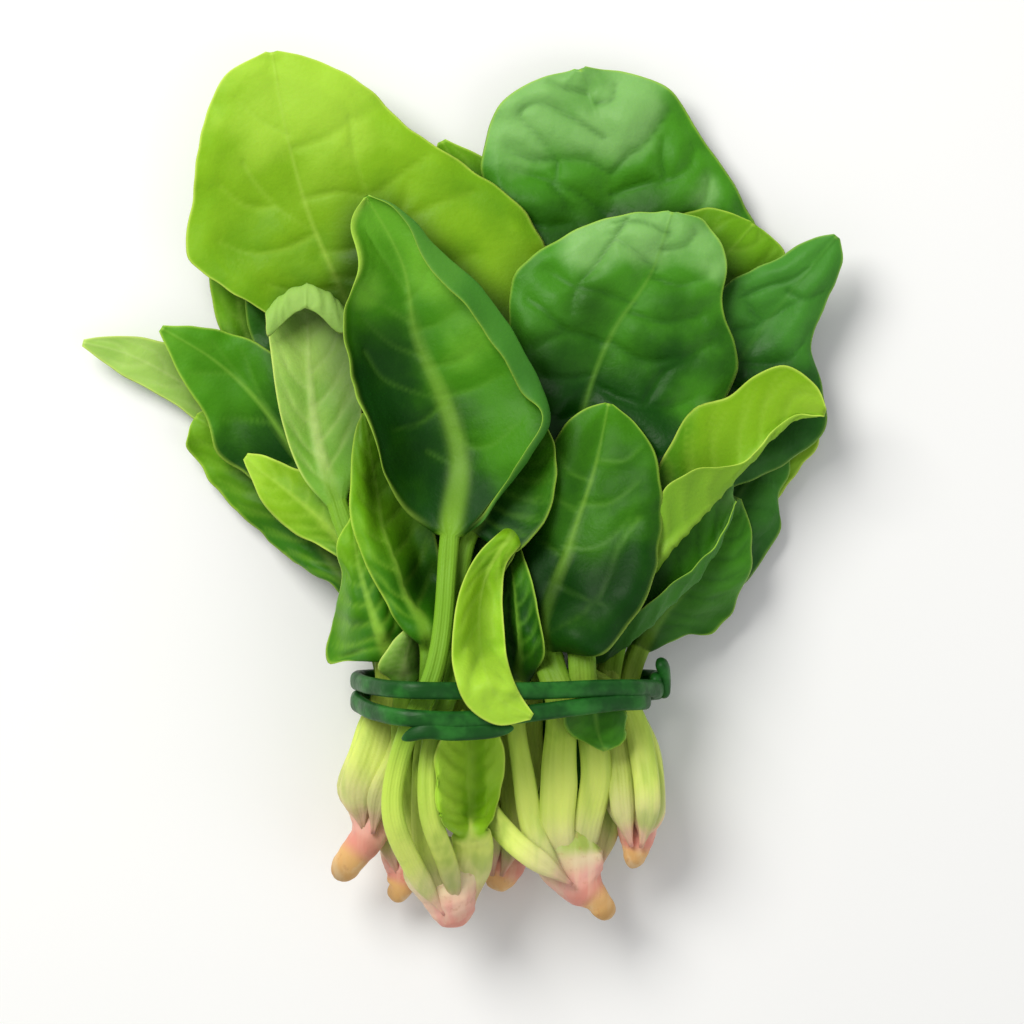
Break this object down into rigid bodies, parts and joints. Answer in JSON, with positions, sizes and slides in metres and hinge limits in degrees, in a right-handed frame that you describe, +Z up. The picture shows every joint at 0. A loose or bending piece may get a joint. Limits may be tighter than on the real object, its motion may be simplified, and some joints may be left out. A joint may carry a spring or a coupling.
{
  "type": "spinach bunch",
  "caption": "Fresh bunch of spinach lying down, long-stalked green leaves joined at pink crowns with short taproots, tied round the stalks with a green cord.",
  "frame": {"origin": "centre of the overall box in plan, on the surface the bunch lies on", "axes": "+Z up; +Y from the roots to the leaf tips; +X to the right seen from above with the tips away from the viewer"},
  "size_m": [0.2148, 0.2474, 0.0599],
  "materials": {
    "leaf_dark": "satin, waxy, veined",
    "leaf_mid": "satin, waxy, veined",
    "leaf_bright": "satin, waxy, veined",
    "crown": "smooth, pink to tan",
    "tie": "satin"
  },
  "bodies": {
    "root": {"under_leaf_upper_right": "leaf_dark", "upper_right_leaf": "leaf_dark", "small_inner_left_leaf": "leaf_dark", "under_leaf_right": "leaf_dark", "lobed_right_leaf": "leaf_dark", "lower_right_leaf": "leaf_dark", "pointed_right_leaf": "leaf_dark", "folded_right_leaf": "leaf_dark", "round_right_leaf": "leaf_dark", "dark_base_leaf": "leaf_dark", "dark_base_leaf_right": "leaf_dark", "torn_dark_leaf": "leaf_dark", "under_leaf_centre": "leaf_mid", "under_leaf_left": "leaf_mid", "broad_left_leaf": "leaf_mid", "centre_right_leaf": "leaf_mid", "inner_strap_leaf": "leaf_mid", "hidden_inner_leaf": "leaf_mid", "cupped_centre_leaf": "leaf_mid", "large_front_leaf": "leaf_mid", "draping_left_leaf": "leaf_bright", "under_leaf_upper_left": "leaf_bright", "lower_left_leaf": "leaf_bright", "top_centre_leaf": "leaf_bright", "small_left_leaf": "leaf_bright", "upper_left_leaf": "leaf_bright", "upper_right_low_leaf": "leaf_bright", "small_right_leaf": "leaf_bright", "lower_left_pale_leaf": "leaf_bright", "rolled_left_leaf": "leaf_bright", "curled_right_leaf": "leaf_bright", "narrow_left_leaf": "leaf_bright", "far_left_leaf": "leaf_bright", "small_base_leaf": "leaf_bright", "crumpled_base_leaf": "leaf_bright", "tongue_leaf": "leaf_bright", "crown_back_left": "crown", "crown_back_centre": "crown", "crown_right": "crown", "crown_left": "crown", "crown_right_centre": "crown", "crown_left_centre": "crown", "tie_cord": "tie", "tie_tail": "tie", "tie_knot": "tie"}
  },
  "joints": []
}
